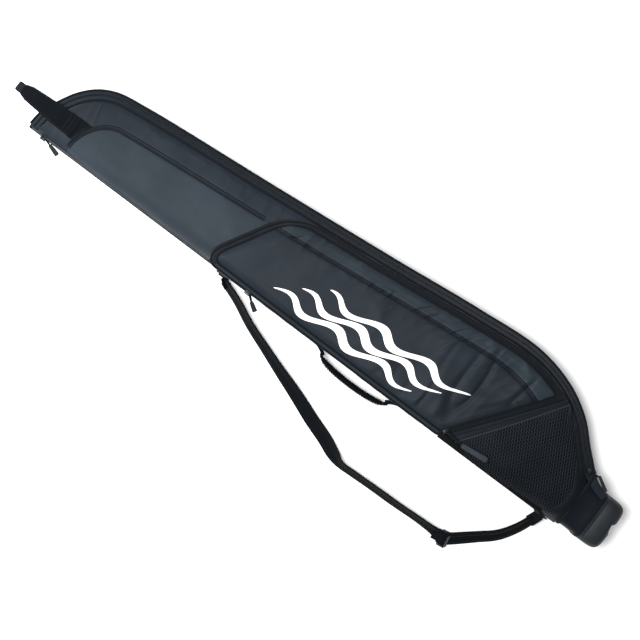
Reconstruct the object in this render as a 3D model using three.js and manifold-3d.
// Padded rod case, lying on its back: x runs from the tip to the butt, y from the spine to the
// zip side and z up through the front. Millimetres. The closing group moves the origin to the
// middle of the back face.
import * as THREE from 'three';
import { RoundedBoxGeometry } from 'three/addons/geometries/RoundedBoxGeometry.js';
import { mergeVertices } from 'three/addons/utils/BufferGeometryUtils.js';
import Module from 'manifold-3d';

const wasm = await Module();
wasm.setup();

// Driving dimensions
const ORIGIN = [625, 90];        // plan point of the back face that becomes the origin
const GAP = 0.3;                 // gap between touching pieces
const WALL = 5;                  // padded wall of the tray
const LID_WALL = 4;              // padded front of the lid
const LINING_TOP = 7.5;          // lid lining, below the front surface
const RIM = 50;                  // depth of the tray, where the lid parts from it
const BAND = 22;                 // width of the slanted zip band in plan
const EDGE_DROP = 10;            // how far the front panel falls towards the zip
const DOME = 36;                 // width of the round shoulder along the spine
const LID_START = 26;            // first rung of the front panel at the tip
const LID_END = 1164;            // butt end of the lid
const COLLAR_END = 1204;         // collar to cap joint
const LENGTH = 1250;             // whole case
const SEAM_START = 81;           // where the front seam leaves the spine
const SEAM_BEND = 59;            // length of its round start
const SEAM_INSET = 38;           // seam to inner edge of the zip band
const TAPE_WIDTH = 9;            // double-stitched seam tape
const POCKET_SPINE_Y = 1;        // pocket edge on the spine side
const POCKET_RISE = 18;          // pocket face above the front panel
const POCKET_EDGE_RISE = 9;      // pocket gusset above the front panel
const POCKET_A = [387, 904];     // spine side of the pocket, x range
const POCKET_B = [475, 1043];    // zip side of the pocket, x range
const POCKET_SLIDER_X = 491;     // where the pocket's tip-side slider is parked
const POCKET_SEAM = 0.76;        // its seam, as a share of the way across
const TIP_LOOP_Y = 44;           // middle line of the tip loop
const WEB = 26;                  // shoulder strap web
const WEB_THICK = 3;
const HANDLE_X = 730;            // middle of the carry handle along the spine
const HANDLE_Z = 25;             // its height
const HANDLE_PIVOT = -12;        // y of its two ends, where it swings

const THICKNESS = [[0, 66], [200, 79], [600, 95], [950, 109], [1170, 80], [1250, 74]];
const ZIP_EDGE = [
  [1, 4], [4, 30], [18, 64], [36, 96], [61, 122], [93, 139], [152, 149], [422, 175], [670, 200],
  [833, 218], [961, 226], [1041, 208], [1095, 178], [1140, 136], [1180, 103], [1206, 93],
];

const COLOURS = {
  shell: [0x474e58, 0.85], dark_shell: [0x39424c, 0.85], edge: [0x15191d, 0.8],
  coil: [0x0c0c0e, 0.5], foam: [0x2e3238, 0.95], mesh: [0x14191c, 0.9], web: [0x12181e, 0.8],
  rubber: [0x2a3036, 0.55], metal: [0x202326, 0.35], pull: [0x29333b, 0.5],
};

const group = new THREE.Group();
group.position.set(-ORIGIN[0], -ORIGIN[1], 0);

// ---------------------------------------------------------------- solids
function add(name, geometry, colour) {
  const [hex, roughness] = COLOURS[colour];
  const metalness = colour === 'metal' ? 0.8 : 0;
  const material = new THREE.MeshStandardMaterial({ color: hex, roughness, metalness });
  const mesh = new THREE.Mesh(geometry, material);
  mesh.name = name;
  group.add(mesh);
  return mesh;
}

function signedVolume(points, index) {
  let sum = 0;
  for (let i = 0; i < index.length; i += 3) {
    const [a, b, c] = [points[index[i]], points[index[i + 1]], points[index[i + 2]]];
    sum += a.dot(new THREE.Vector3().crossVectors(b, c));
  }
  return sum;
}

// A body lofted through sections of an even number of points. The two halves of a section run side
// by side, so that an end is closed as a ladder. A closed loft joins its last section to its first.
function loft(sections, closed = false) {
  const size = sections[0].length;
  const points = sections.flat().map((p) => new THREE.Vector3(...p));
  const index = [];
  const quad = (a, b, c, d) => index.push(a, b, c, a, c, d);
  const last = closed ? sections.length : sections.length - 1;
  for (let i = 0; i < last; i++) {
    const from = i * size;
    const to = ((i + 1) % sections.length) * size;
    for (let j = 0; j < size; j++) {
      const k = (j + 1) % size;
      quad(from + j, from + k, to + k, to + j);
    }
  }
  if (!closed) {
    const end = (sections.length - 1) * size;
    for (let j = 0; j < size / 2 - 1; j++) {
      const k = size - 1 - j;
      quad(j, k, k - 1, j + 1);
      quad(end + j, end + j + 1, end + k - 1, end + k);
    }
  }
  if (signedVolume(points, index) < 0) index.reverse();
  const geometry = new THREE.BufferGeometry();
  const flat = points.flatMap((p) => p.toArray());
  geometry.setAttribute('position', new THREE.Float32BufferAttribute(flat, 3));
  geometry.setIndex(index);
  return geometry;
}

function toSolid(geometry) {
  const bare = geometry.clone();
  bare.deleteAttribute('normal');
  bare.deleteAttribute('uv');
  const merged = mergeVertices(bare, 1e-4);
  return new wasm.Manifold(new wasm.Mesh({
    numProp: 3,
    vertProperties: new Float32Array(merged.attributes.position.array),
    triVerts: new Uint32Array(merged.index.array),
  }));
}

function cut(geometry, tool) {
  const { vertProperties, triVerts } = toSolid(geometry).subtract(toSolid(tool)).getMesh();
  const result = new THREE.BufferGeometry();
  result.setAttribute('position', new THREE.BufferAttribute(new Float32Array(vertProperties), 3));
  result.setIndex(new THREE.BufferAttribute(new Uint32Array(triVerts), 1));
  return result;
}

// ---------------------------------------------------------------- helpers
const lerp = THREE.MathUtils.lerp;
const radians = THREE.MathUtils.degToRad;
const range = (count, from = 0, to = 1) => (
  Array.from({ length: count + 1 }, (_, i) => lerp(from, to, i / count)));

// A smooth curve of y against x through a few points
function curveThrough(points) {
  const slope = points.map((p, i) => {
    const [a, b] = [points[Math.max(i - 1, 0)], points[Math.min(i + 1, points.length - 1)]];
    return (b[1] - a[1]) / (b[0] - a[0]);
  });
  return (x) => {
    let i = 0;
    while (i < points.length - 2 && x > points[i + 1][0]) i++;
    const [[x0, y0], [x1, y1]] = [points[i], points[i + 1]];
    const h = x1 - x0;
    const s = THREE.MathUtils.clamp((x - x0) / h, 0, 1);
    const blend = s * s * (3 - 2 * s);
    return lerp(y0, y1, blend) + h * s * (1 - s) * ((1 - s) * slope[i] - s * slope[i + 1]);
  };
}

const thickness = curveThrough(THICKNESS);
const zipCurve = new THREE.CatmullRomCurve3(
  ZIP_EDGE.map(([x, y]) => new THREE.Vector3(x, y, 0)), false, 'centripetal');

// Plan point at a distance d inside the zip edge
function edgePoint(t, d) {
  const p = zipCurve.getPoint(t);
  const tangent = zipCurve.getTangent(t);
  return [p.x + tangent.y * d, p.y - tangent.x * d];
}

// Parameter of the zip edge's inset curve at a given x
function edgeAt(x, d) {
  let [low, high] = [0, 1];
  for (let i = 0; i < 40; i++) {
    const middle = (low + high) / 2;
    if (edgePoint(middle, d)[0] < x) low = middle;
    else high = middle;
  }
  return low;
}

const zipRun = range(40, 0.012, edgeAt(LID_END, 0));
const insetY = (x, d) => edgePoint(edgeAt(x, d), d)[1];

// Height of the slanted zip band, d inside the edge
const bandZ = (x, d) => RIM + (thickness(x) - EDGE_DROP - RIM) * d / BAND;

// Front surface of the lid at (x, y), sunk by an inset
function frontZ(x, y, inset = 0) {
  const edge = insetY(x, BAND);
  const dome = Math.min(DOME, edge * 0.5);
  if (y < dome) {
    const across = THREE.MathUtils.clamp((dome - y) / (dome - inset), 0, 1);
    return RIM + GAP + (thickness(x) - RIM - inset) * Math.sqrt(1 - across * across);
  }
  return thickness(x) - inset - EDGE_DROP * ((y - dome) / (edge - dome)) ** 3;
}

// Points across the lid from y0 to y1, closer together on the round shoulder
function acrossLid(x, y0, y1, count) {
  const dome = Math.min(DOME, insetY(x, BAND) * 0.5);
  const angle = (y) => (y < dome ? Math.acos(1 - Math.max(y, 0) / dome) : Math.PI / 2 + (y - dome) / dome);
  const back = (a) => (a < Math.PI / 2 ? dome * (1 - Math.cos(a)) : dome + (a - Math.PI / 2) * dome);
  if (y0 > dome / 2 || y1 < dome * 1.5) return range(count, angle(y0), angle(y1)).map(back);
  const half = count / 2;
  return [...range(half, angle(y0), Math.PI / 2), ...range(half, Math.PI / 2, angle(y1)).slice(1)].map(back);
}

// A sheet of the lid between two insets, from y0 to y1 at one x
function lidSection(x, y0, y1, outer, inner, count = 6) {
  const top = acrossLid(x, y0, y1, count).map((y) => [x, y, frontZ(x, y, outer)]);
  const bottom = acrossLid(x, Math.max(y0, inner), y1, count).map((y) => [x, y, frontZ(x, y, inner)]);
  return [...top, ...bottom.reverse()];
}

// A strip that follows the zip edge, between two insets and two heights over the band
function bandStrip(d0, d1, h0, h1) {
  return loft(zipRun.map((t) => {
    const [outer, inner] = [edgePoint(t, d0), edgePoint(t, d1)];
    const [zo, zi] = [bandZ(outer[0], d0), bandZ(inner[0], d1)];
    return [[...outer, zo + h1], [...inner, zi + h1], [...inner, zi + h0], [...outer, zo + h0]];
  }));
}

// A flat strip along a plan path, lying at a height given by a function of the plan point
function ribbon(path, width, height, low, high) {
  return loft(path.map((p, i) => {
    const [a, b] = [path[Math.max(i - 1, 0)], path[Math.min(i + 1, path.length - 1)]];
    const run = Math.hypot(b[0] - a[0], b[1] - a[1]);
    const side = [(-(b[1] - a[1]) / run) * width / 2, ((b[0] - a[0]) / run) * width / 2];
    const left = [p[0] + side[0], p[1] + side[1]];
    const right = [p[0] - side[0], p[1] - side[1]];
    const [zl, zr] = [height(...left), height(...right)];
    return [[...left, zl + high], [...right, zr + high], [...right, zr + low], [...left, zl + low]];
  }));
}

function box(x, y, z, dx, dy, dz, radius = 0.8) {
  const geometry = new RoundedBoxGeometry(dx, dy, dz, 1, radius);
  geometry.translate(x, y, z);
  return geometry;
}

function turnedBox(x, y, z, dx, dy, dz, degrees, radius = 0.8) {
  const geometry = new RoundedBoxGeometry(dx, dy, dz, 1, radius);
  geometry.rotateZ(radians(degrees));
  geometry.translate(x, y, z);
  return geometry;
}

function rod(from, to, radius, sides = 8) {
  const line = new THREE.Vector3(...to).sub(new THREE.Vector3(...from));
  const geometry = new THREE.CylinderGeometry(radius, radius, line.length(), sides);
  geometry.applyQuaternion(new THREE.Quaternion().setFromUnitVectors(
    new THREE.Vector3(0, 1, 0), line.clone().normalize()));
  geometry.translate((from[0] + to[0]) / 2, (from[1] + to[1]) / 2, (from[2] + to[2]) / 2);
  return geometry;
}

// ---------------------------------------------------------------- tray
function makeTray() {
  const end = edgeAt(LID_END, 0);
  const stations = range(34, 0, end);
  const plate = (d, z0, z1) => loft(stations.map((t) => {
    const [x, y] = edgePoint(t, d);
    return [[x, d, z1], [x, y, z1], [x, y, z0], [x, d, z0]];
  }));
  add('back_panel', plate(0, 0, WALL), 'dark_shell');
  add('tray_lining', plate(WALL + 2, WALL + GAP, WALL + 6), 'foam');
  const [wallStart, wallLow, wallTop] = [8, WALL + GAP, RIM - GAP];
  add('spine_wall', box(
    (wallStart + LID_END) / 2, WALL / 2, (wallLow + wallTop) / 2,
    LID_END - wallStart, WALL, wallTop - wallLow,
  ), 'dark_shell');
  add('zip_side_wall', loft(zipRun.map((t) => {
    const [outer, inner] = [edgePoint(t, 0), edgePoint(t, WALL)];
    const [z0, z1] = [WALL + GAP, RIM - 3.5];
    return [[...outer, z1], [...inner, z1], [...inner, z0], [...outer, z0]];
  })), 'dark_shell');
  add('rim_binding', bandStrip(0, 3, -3, 1.5), 'edge');
  add('main_zip_tape_tray', bandStrip(3.4, 7.6, -2, 0), 'edge');
  add('main_zip_coil_tray', bandStrip(8, 9.7, -2, 1), 'coil');
}

function makeFittings() {
  const floor = WALL + 6 + GAP;
  for (const [name, x] of [['rod_belt_tip', 310], ['rod_belt_butt', 760]]) {
    add(name, box(x, 80, floor + 1.2, 38, 130, 2.4), 'web');
  }
  add('tip_cushion', box(62, 40, floor + 9, 40, 50, 18, 4), 'foam');
  add('reel_cushion', box(965, 150, floor + 6, 120, 90, 12, 4), 'foam');
}

// ---------------------------------------------------------------- butt
// Section of the butt end at x, sunk by an inset, as a rounded rectangle
function buttSection(x, inset) {
  const y1 = insetY(Math.min(x, COLLAR_END), 0);
  const z1 = thickness(x);
  const [cy, cz, ry, rz] = [y1 / 2, z1 / 2, y1 / 2 - inset, z1 / 2 - inset];
  const power = (v) => Math.sign(v) * Math.abs(v) ** 0.5;
  return range(23, 0.5, 23.5).map((k) => {
    const a = (k / 24) * 2 * Math.PI;
    return [x, cy + ry * power(Math.cos(a)), cz + rz * power(Math.sin(a))];
  });
}

function makeButt() {
  const collar = loft([LID_END + 1, 1180, COLLAR_END].map((x) => buttSection(x, 0)));
  const bore = loft([LID_END - 5, 1180, COLLAR_END + 5].map((x) => buttSection(x, WALL)));
  add('butt_collar', cut(collar, bore), 'dark_shell');
  const capStart = COLLAR_END + GAP;
  const cap = loft([
    buttSection(capStart, 0), buttSection(1235, 0), buttSection(1246, 3), buttSection(LENGTH, 10)]);
  const hollow = loft([capStart - 5, 1240].map((x) => buttSection(x, WALL)));
  add('butt_cap', cut(cap, hollow), 'rubber');
  add('butt_foam', loft([1228, 1239.5].map((x) => buttSection(x, WALL + 1))), 'foam');
}

// ---------------------------------------------------------------- lid
const seamY = (x) => {
  const full = insetY(x, BAND) - SEAM_INSET;
  if (x >= SEAM_START + SEAM_BEND) return full;
  const bend = insetY(SEAM_START + SEAM_BEND, BAND) - SEAM_INSET;
  return bend * Math.sqrt(Math.max(0, 1 - ((SEAM_START + SEAM_BEND - x) / SEAM_BEND) ** 2));
};
const seamBend = range(6, 0, Math.PI / 2).map((a) => SEAM_START + SEAM_BEND * (1 - Math.cos(a)));

// Rungs across the lid between two x: those of the zip band, with the seam's bend among them
function rungs(from, to) {
  const all = [...zipRun.map((t) => edgePoint(t, BAND + 1)[0]), ...seamBend]
    .filter((x) => x > from + 2 && x < to - 2)
    .sort((a, b) => a - b);
  return [from, ...all.filter((x, i) => i === 0 || x - all[i - 1] > 2), to];
}

function makeLid() {
  const sheet = (xs, y0, y1, outer, inner) => (
    loft(xs.map((x) => lidSection(x, y0(x), y1(x), outer, inner))));
  const spine = () => 0.5;
  const edge = (x) => insetY(x, BAND) - 1;
  const strip = (x) => (x > SEAM_START ? seamY(x) + GAP : spine());
  const seamSide = (x) => seamY(x) - GAP;
  add('front_panel_outer', sheet(rungs(LID_START, LID_END), strip, edge, 0, LID_WALL), 'dark_shell');
  add('front_panel_inner', sheet(rungs(seamBend[1], LID_END), spine, seamSide, 0, LID_WALL), 'shell');
  const lining = sheet(rungs(110, LID_END - 2), () => 14, (x) => edge(x) - 7, LINING_TOP, LINING_TOP + 3.5);
  add('lid_lining', lining, 'foam');
  const seam = [...seamBend.slice(1), ...range(6, 190, 425)].map((x) => [x, seamY(x)]);
  add('front_seam_tape', ribbon(seam, TAPE_WIDTH, frontZ, 1, 2.4), 'dark_shell');
  add('main_zip_coil_lid', bandStrip(10.3, 12, -2, 1), 'coil');
  add('main_zip_tape_lid', bandStrip(12.4, 17, -2, 0), 'edge');
  add('front_piping', bandStrip(17.4, 21.6, -3, 2), 'edge');
}

// ---------------------------------------------------------------- pocket
// Plan of the pocket: u runs towards the butt and v from the spine side to the zip side
function pocketPlan(u, v) {
  const a = [lerp(POCKET_A[0], POCKET_A[1], u), POCKET_SPINE_Y];
  const bx = lerp(POCKET_B[0], POCKET_B[1], u);
  const corner = 24 * Math.max(0, 1 - (bx - POCKET_B[0]) / 34);
  const b = [bx, insetY(bx, BAND) - 3 - corner];
  return [lerp(a[0], b[0], v), lerp(a[1], b[1], v)];
}

const POCKET_RUN = POCKET_B[1] - POCKET_B[0];
const POCKET_CLIMB = [0, 0.03, 0.07, 0.12, 0.2, 0.35, 0.6, 1];
const POCKET_STATIONS = [0, 0.02, 0.05, ...range(9, 0.13, 1)];
const pocketSpan = (u) => pocketPlan(u, 1)[1] - pocketPlan(u, 0)[1];

// Pocket surface, d in from the nearest of its edges
function pocketPoint(u, v, sink = 0) {
  const [x, y] = pocketPlan(u, v);
  const span = pocketSpan(u);
  const d = Math.min(u * POCKET_RUN, (1 - u) * POCKET_RUN, v * span, (1 - v) * span);
  const rise = lerp(POCKET_EDGE_RISE, POCKET_RISE, THREE.MathUtils.smoothstep(d, 3, 24));
  const fall = EDGE_DROP * THREE.MathUtils.clamp((y - DOME) / (insetY(x, BAND) - DOME), 0, 1) ** 3;
  return [x, y, thickness(x) + rise - fall - sink];
}

// Points round three sides of the pocket, d in from its edge, from the spine by way of the tip
function pocketTrack(d, startV = 0) {
  const [u0, u1] = [d / POCKET_RUN, 1 - d / POCKET_RUN];
  const up = POCKET_CLIMB.map((s) => [u0, lerp(startV, 1, s)]);
  const along = POCKET_STATIONS.slice(1, -1).map((u) => [lerp(u0, u1, u), 1]);
  const down = up.map(([, s]) => [u1, s]).reverse();
  return [...up, ...along, ...down].map(([u, s]) => {
    const span = pocketSpan(u);
    return [u, lerp(d / span, 1 - d / span, s)];
  });
}

function trackStrip(d0, d1, low, high, startV = 0) {
  const [outer, inner] = [pocketTrack(d0, startV), pocketTrack(d1, startV)];
  return loft(outer.map((p, i) => {
    const [o, n] = [pocketPoint(...p), pocketPoint(...inner[i])];
    const at = ([x, y, z], height) => [x, y, z + height];
    return [at(o, high), at(n, high), at(n, low), at(o, low)];
  }));
}

function pocketRing(d) {
  const spine = range(8, 0.96, 0.04);
  const track = pocketTrack(d);
  const v = (u) => d / pocketSpan(u);
  return [...track, ...spine.map((u) => [u, v(u)])];
}

function makePocket() {
  const [outer, inner] = [pocketRing(0), pocketRing(3)];
  add('pocket_gusset', loft(outer.map((p, i) => {
    const [o, n] = [pocketPoint(...p), pocketPoint(...inner[i])];
    const [zo, zn] = [frontZ(o[0], o[1]) + 2.6, frontZ(n[0], n[1]) + 2.6];
    return [[o[0], o[1], o[2]], [n[0], n[1], n[2]], [n[0], n[1], zn], [o[0], o[1], zo]];
  }), true), 'dark_shell');
  add('pocket_coil_lower', trackStrip(3.2, 5.6, -2, 0.5), 'coil');
  add('pocket_coil_upper', trackStrip(6.6, 9, -2, 0.5), 'coil');
  add('pocket_piping', trackStrip(9.4, 13, -2.5, 1.5, 0.03), 'edge');
  const face = (v0, v1, us) => loft(us.map((u) => {
    const vs = range(6, v0(u), v1(u));
    const top = vs.map((v) => pocketPoint(u, v, 0));
    const bottom = vs.map((v) => pocketPoint(u, v, 4)).reverse();
    return [...top, ...bottom];
  }));
  const inset = 13.6;
  const us = POCKET_STATIONS.map((s) => lerp(inset / POCKET_RUN, 1 - inset / POCKET_RUN, s));
  add('pocket_panel_inner', face((u) => 5 / pocketSpan(u), () => POCKET_SEAM - 0.003, us), 'shell');
  add('pocket_panel_outer', face(() => POCKET_SEAM + 0.003, (u) => 1 - inset / pocketSpan(u), us), 'dark_shell');
  const tape = [0.05, ...POCKET_STATIONS.slice(3, -1), 0.96];
  add('pocket_seam_tape', loft(tape.map((u) => {
    const half = TAPE_WIDTH / 2 / pocketSpan(u);
    const [a, b] = [pocketPoint(u, POCKET_SEAM + half, -2.8), pocketPoint(u, POCKET_SEAM - half, -2.8)];
    const [c, d] = [pocketPoint(u, POCKET_SEAM - half, -1.4), pocketPoint(u, POCKET_SEAM + half, -1.4)];
    return [a, b, c, d];
  })), 'dark_shell');
}

// ---------------------------------------------------------------- mesh pocket
const meshEdge = new THREE.CatmullRomCurve3([
  [1128, 1], [1150, 20], [1156, 56], [1144, 88], [1114, 121], [1060, 172],
].map(([x, y]) => new THREE.Vector3(x, y, 0)), false, 'centripetal');

// Height of the mesh pocket beside the pocket's butt end
const meshTop = (x, y) => thickness(x) + POCKET_EDGE_RISE - 1 - 4 * ((y - DOME) / 150) ** 2;

function meshPoint(v, across, sink = 0) {
  const near = pocketPlan(1 + 12 / POCKET_RUN, v * 0.985 + 0.005);
  const far = meshEdge.getPoint(v);
  const [x, y] = [lerp(near[0], far.x, across), lerp(near[1], far.y, across)];
  return [x, y, lerp(meshTop(x, y), frontZ(x, y) + 4, across ** 2) - sink];
}

function makeMesh() {
  const vs = range(10, 0.03, 0.97);
  add('mesh_panel', loft(vs.map((v) => {
    const along = range(5, 0.01, 0.955);
    return [...along.map((s) => meshPoint(v, s)), ...along.map((s) => meshPoint(v, s, 2)).reverse()];
  })), 'mesh');
  add('mesh_top_band', loft(range(8, 0.03, 0.97).map((v) => {
    const [a, b] = [pocketPlan(1 + 1 / POCKET_RUN, v), pocketPlan(1 + 11 / POCKET_RUN, v)];
    const [za, zb] = [meshTop(...a), meshTop(...b)];
    return [[...a, za], [...b, zb], [...b, zb - 2.5], [...a, za - 2.5]];
  })), 'edge');
  add('mesh_binding', loft(range(14, 0.0, 1).map((v) => {
    const [a, b] = [meshPoint(v, 0.97), meshPoint(v, 1.03)];
    const [fa, fb] = [frontZ(a[0], a[1]) + 1, frontZ(b[0], b[1]) + 1];
    return [[a[0], a[1], fa + 2.5], [b[0], b[1], fb + 2.5], [b[0], b[1], fb], [a[0], a[1], fa]];
  })), 'edge');
}

// ---------------------------------------------------------------- tip loop
function makeTipLoop() {
  const z = thickness(88) + 5;
  add('tip_loop_patch', box(84.5, TIP_LOOP_Y, z - 1.3, 14, 40, 1.2, 0.4), 'web');
  add('tip_loop_web', loft([[76, 38], [40, 36], [10, 34], [-25, 29], [-38, 20]].map(([x, w]) => {
    const low = z - 6 * Math.max(0, -x / 44) ** 2;
    const [left, right, high] = [TIP_LOOP_Y + w / 2, TIP_LOOP_Y - w / 2, low + 2.4];
    return [[x, left, high], [x, right, high], [x, right, low], [x, left, low]];
  })), 'web');
  add('tip_loop_end', box(-44.5, TIP_LOOP_Y, z - 4, 12, 18, 7, 1.5), 'web');
}

// ---------------------------------------------------------------- straps
// A web through plan points, turned on its edge by an angle at each, its lower edge on the floor
function webStrip(points, width, steps) {
  const curve = new THREE.CatmullRomCurve3(
    points.map(([x, y, roll]) => new THREE.Vector3(x, y, roll)), false, 'centripetal');
  return loft(range(steps, 0, 1).map((t) => {
    const p = curve.getPoint(t);
    const tangent = curve.getTangent(t);
    const run = Math.hypot(tangent.x, tangent.y);
    const side = [-tangent.y / run, tangent.x / run];
    const roll = radians(p.z);
    const z = (width / 2) * Math.sin(roll) + (WEB_THICK / 2) * Math.cos(roll) + 0.2;
    const at = (w, h) => {
      const out = w * Math.cos(roll) - h * Math.sin(roll);
      return [p.x + side[0] * out, p.y + side[1] * out, z + w * Math.sin(roll) + h * Math.cos(roll)];
    };
    const [w, h] = [width / 2, WEB_THICK / 2];
    return [at(w, h), at(-w, h), at(-w, -h), at(w, -h)];
  }));
}

// A web standing on its edge along a plan path
function standingWeb(path, thick, z0, z1) {
  return loft(path.map(([x, y], i) => {
    const [a, b] = [path[Math.max(i - 1, 0)], path[Math.min(i + 1, path.length - 1)]];
    const run = Math.hypot(b[0] - a[0], b[1] - a[1]);
    const [nx, ny] = [-(b[1] - a[1]) / run * thick / 2, (b[0] - a[0]) / run * thick / 2];
    const [left, right] = [[x + nx, y + ny], [x - nx, y - ny]];
    return [[...left, z1], [...right, z1], [...right, z0], [...left, z0]];
  }));
}

const STRAP_LONG = [
  [440, -14, 60], [479, -28, 58], [526, -49, 55], [599, -76, 45], [675, -103, 22], [714, -118, 8],
  [755, -132, 8], [780, -143, 25], [800, -150, 55], [835, -149.5, 60], [900, -148, 60],
  [974, -145.5, 60], [1008, -145, 50], [1022, -145, 30],
];
const STRAP_SHORT = [
  [1042, -138, 30], [1053, -128, 30], [1078, -106, 35], [1104, -82, 38], [1125, -50, 42], [1137, -22, 45],
];

function makeStraps() {
  add('strap_long', webStrip(STRAP_LONG, WEB, 44), 'web');
  add('strap_short', webStrip(STRAP_SHORT, WEB, 16), 'web');
  add('strap_adjuster', turnedBox(1031, -146, 7.4, 11, 30, 12, 8, 1.5), 'rubber');
  for (const [name, x] of [['front', 432], ['rear', 1142]]) {
    add(`strap_anchor_${name}`, box(x, -1.4, 26, 30, 2, 26, 0.5), 'web');
    add(`strap_ring_${name}`, box(x, -6.5, 16, 8, 6, 22, 2), 'metal');
  }
  for (const [name, way] of [['front', -1], ['rear', 1]]) {
    const root = [[106, -1.4], [90, -1.6], [82, -5], [77, -9.5]].map(([x, y]) => [HANDLE_X + way * x, y]);
    add(`handle_anchor_${name}`, standingWeb(root, 2, HANDLE_Z - 13, HANDLE_Z + 13), 'web');
  }
  const bow = range(14, 0, Math.PI).map((a) => [
    HANDLE_X - 73 * Math.cos(a), HANDLE_PIVOT - 14 * Math.sin(a) ** 0.7]);
  add('handle_web', standingWeb(bow, 3.6, HANDLE_Z - 12.5, HANDLE_Z + 12.5), 'web');
}

// ---------------------------------------------------------------- sliders and pullers
function makePullers() {
  add('tip_slider', box(38, -3.6, 58.5, 13, 7, 4), 'metal');
  add('tip_puller_cord', rod([46, -4, 59.5], [54, -6.4, 59.5], 1.2), 'pull');
  add('tip_puller_grip', rod([54.4, -6.5, 59.5], [76, -13, 59.5], 3.6, 10), 'pull');
  const buttT = edgeAt(1157, 10);
  const [bx, by] = edgePoint(buttT, 10);
  const bz = bandZ(bx, 10) + 7.6;
  add('butt_slider', turnedBox(bx, by, bz, 13, 8, 4, -38), 'metal');
  add('butt_puller', turnedBox(bx + 31, by - 2, bz - 1, 34, 3, 8, -31), 'pull');
  const az = thickness(POCKET_SLIDER_X) + POCKET_EDGE_RISE + 1.5;
  const ax = POCKET_SLIDER_X;
  add('pocket_slider_tip', box(ax, -4, az, 13, 8, 4), 'metal');
  add('pocket_puller_tip', rod([ax + 14, -12.8, az - 0.6], [ax + 27, -20, az - 1.8], 3.4, 10), 'pull');
  const [dx, dy, dz] = pocketPoint(1 - 6.2 / POCKET_RUN, 0.06);
  add('pocket_slider_butt', turnedBox(dx, dy, dz + 6.6, 8, 13, 4, -34), 'metal');
  add('pocket_puller_butt', turnedBox(dx + 56, dy - 1.4, dz + 6.5, 62, 10, 3, 6), 'pull');
}

makeTray();
makeFittings();
makeButt();
makeLid();
makePocket();
makeMesh();
makeTipLoop();
makeStraps();
makePullers();

export default group;
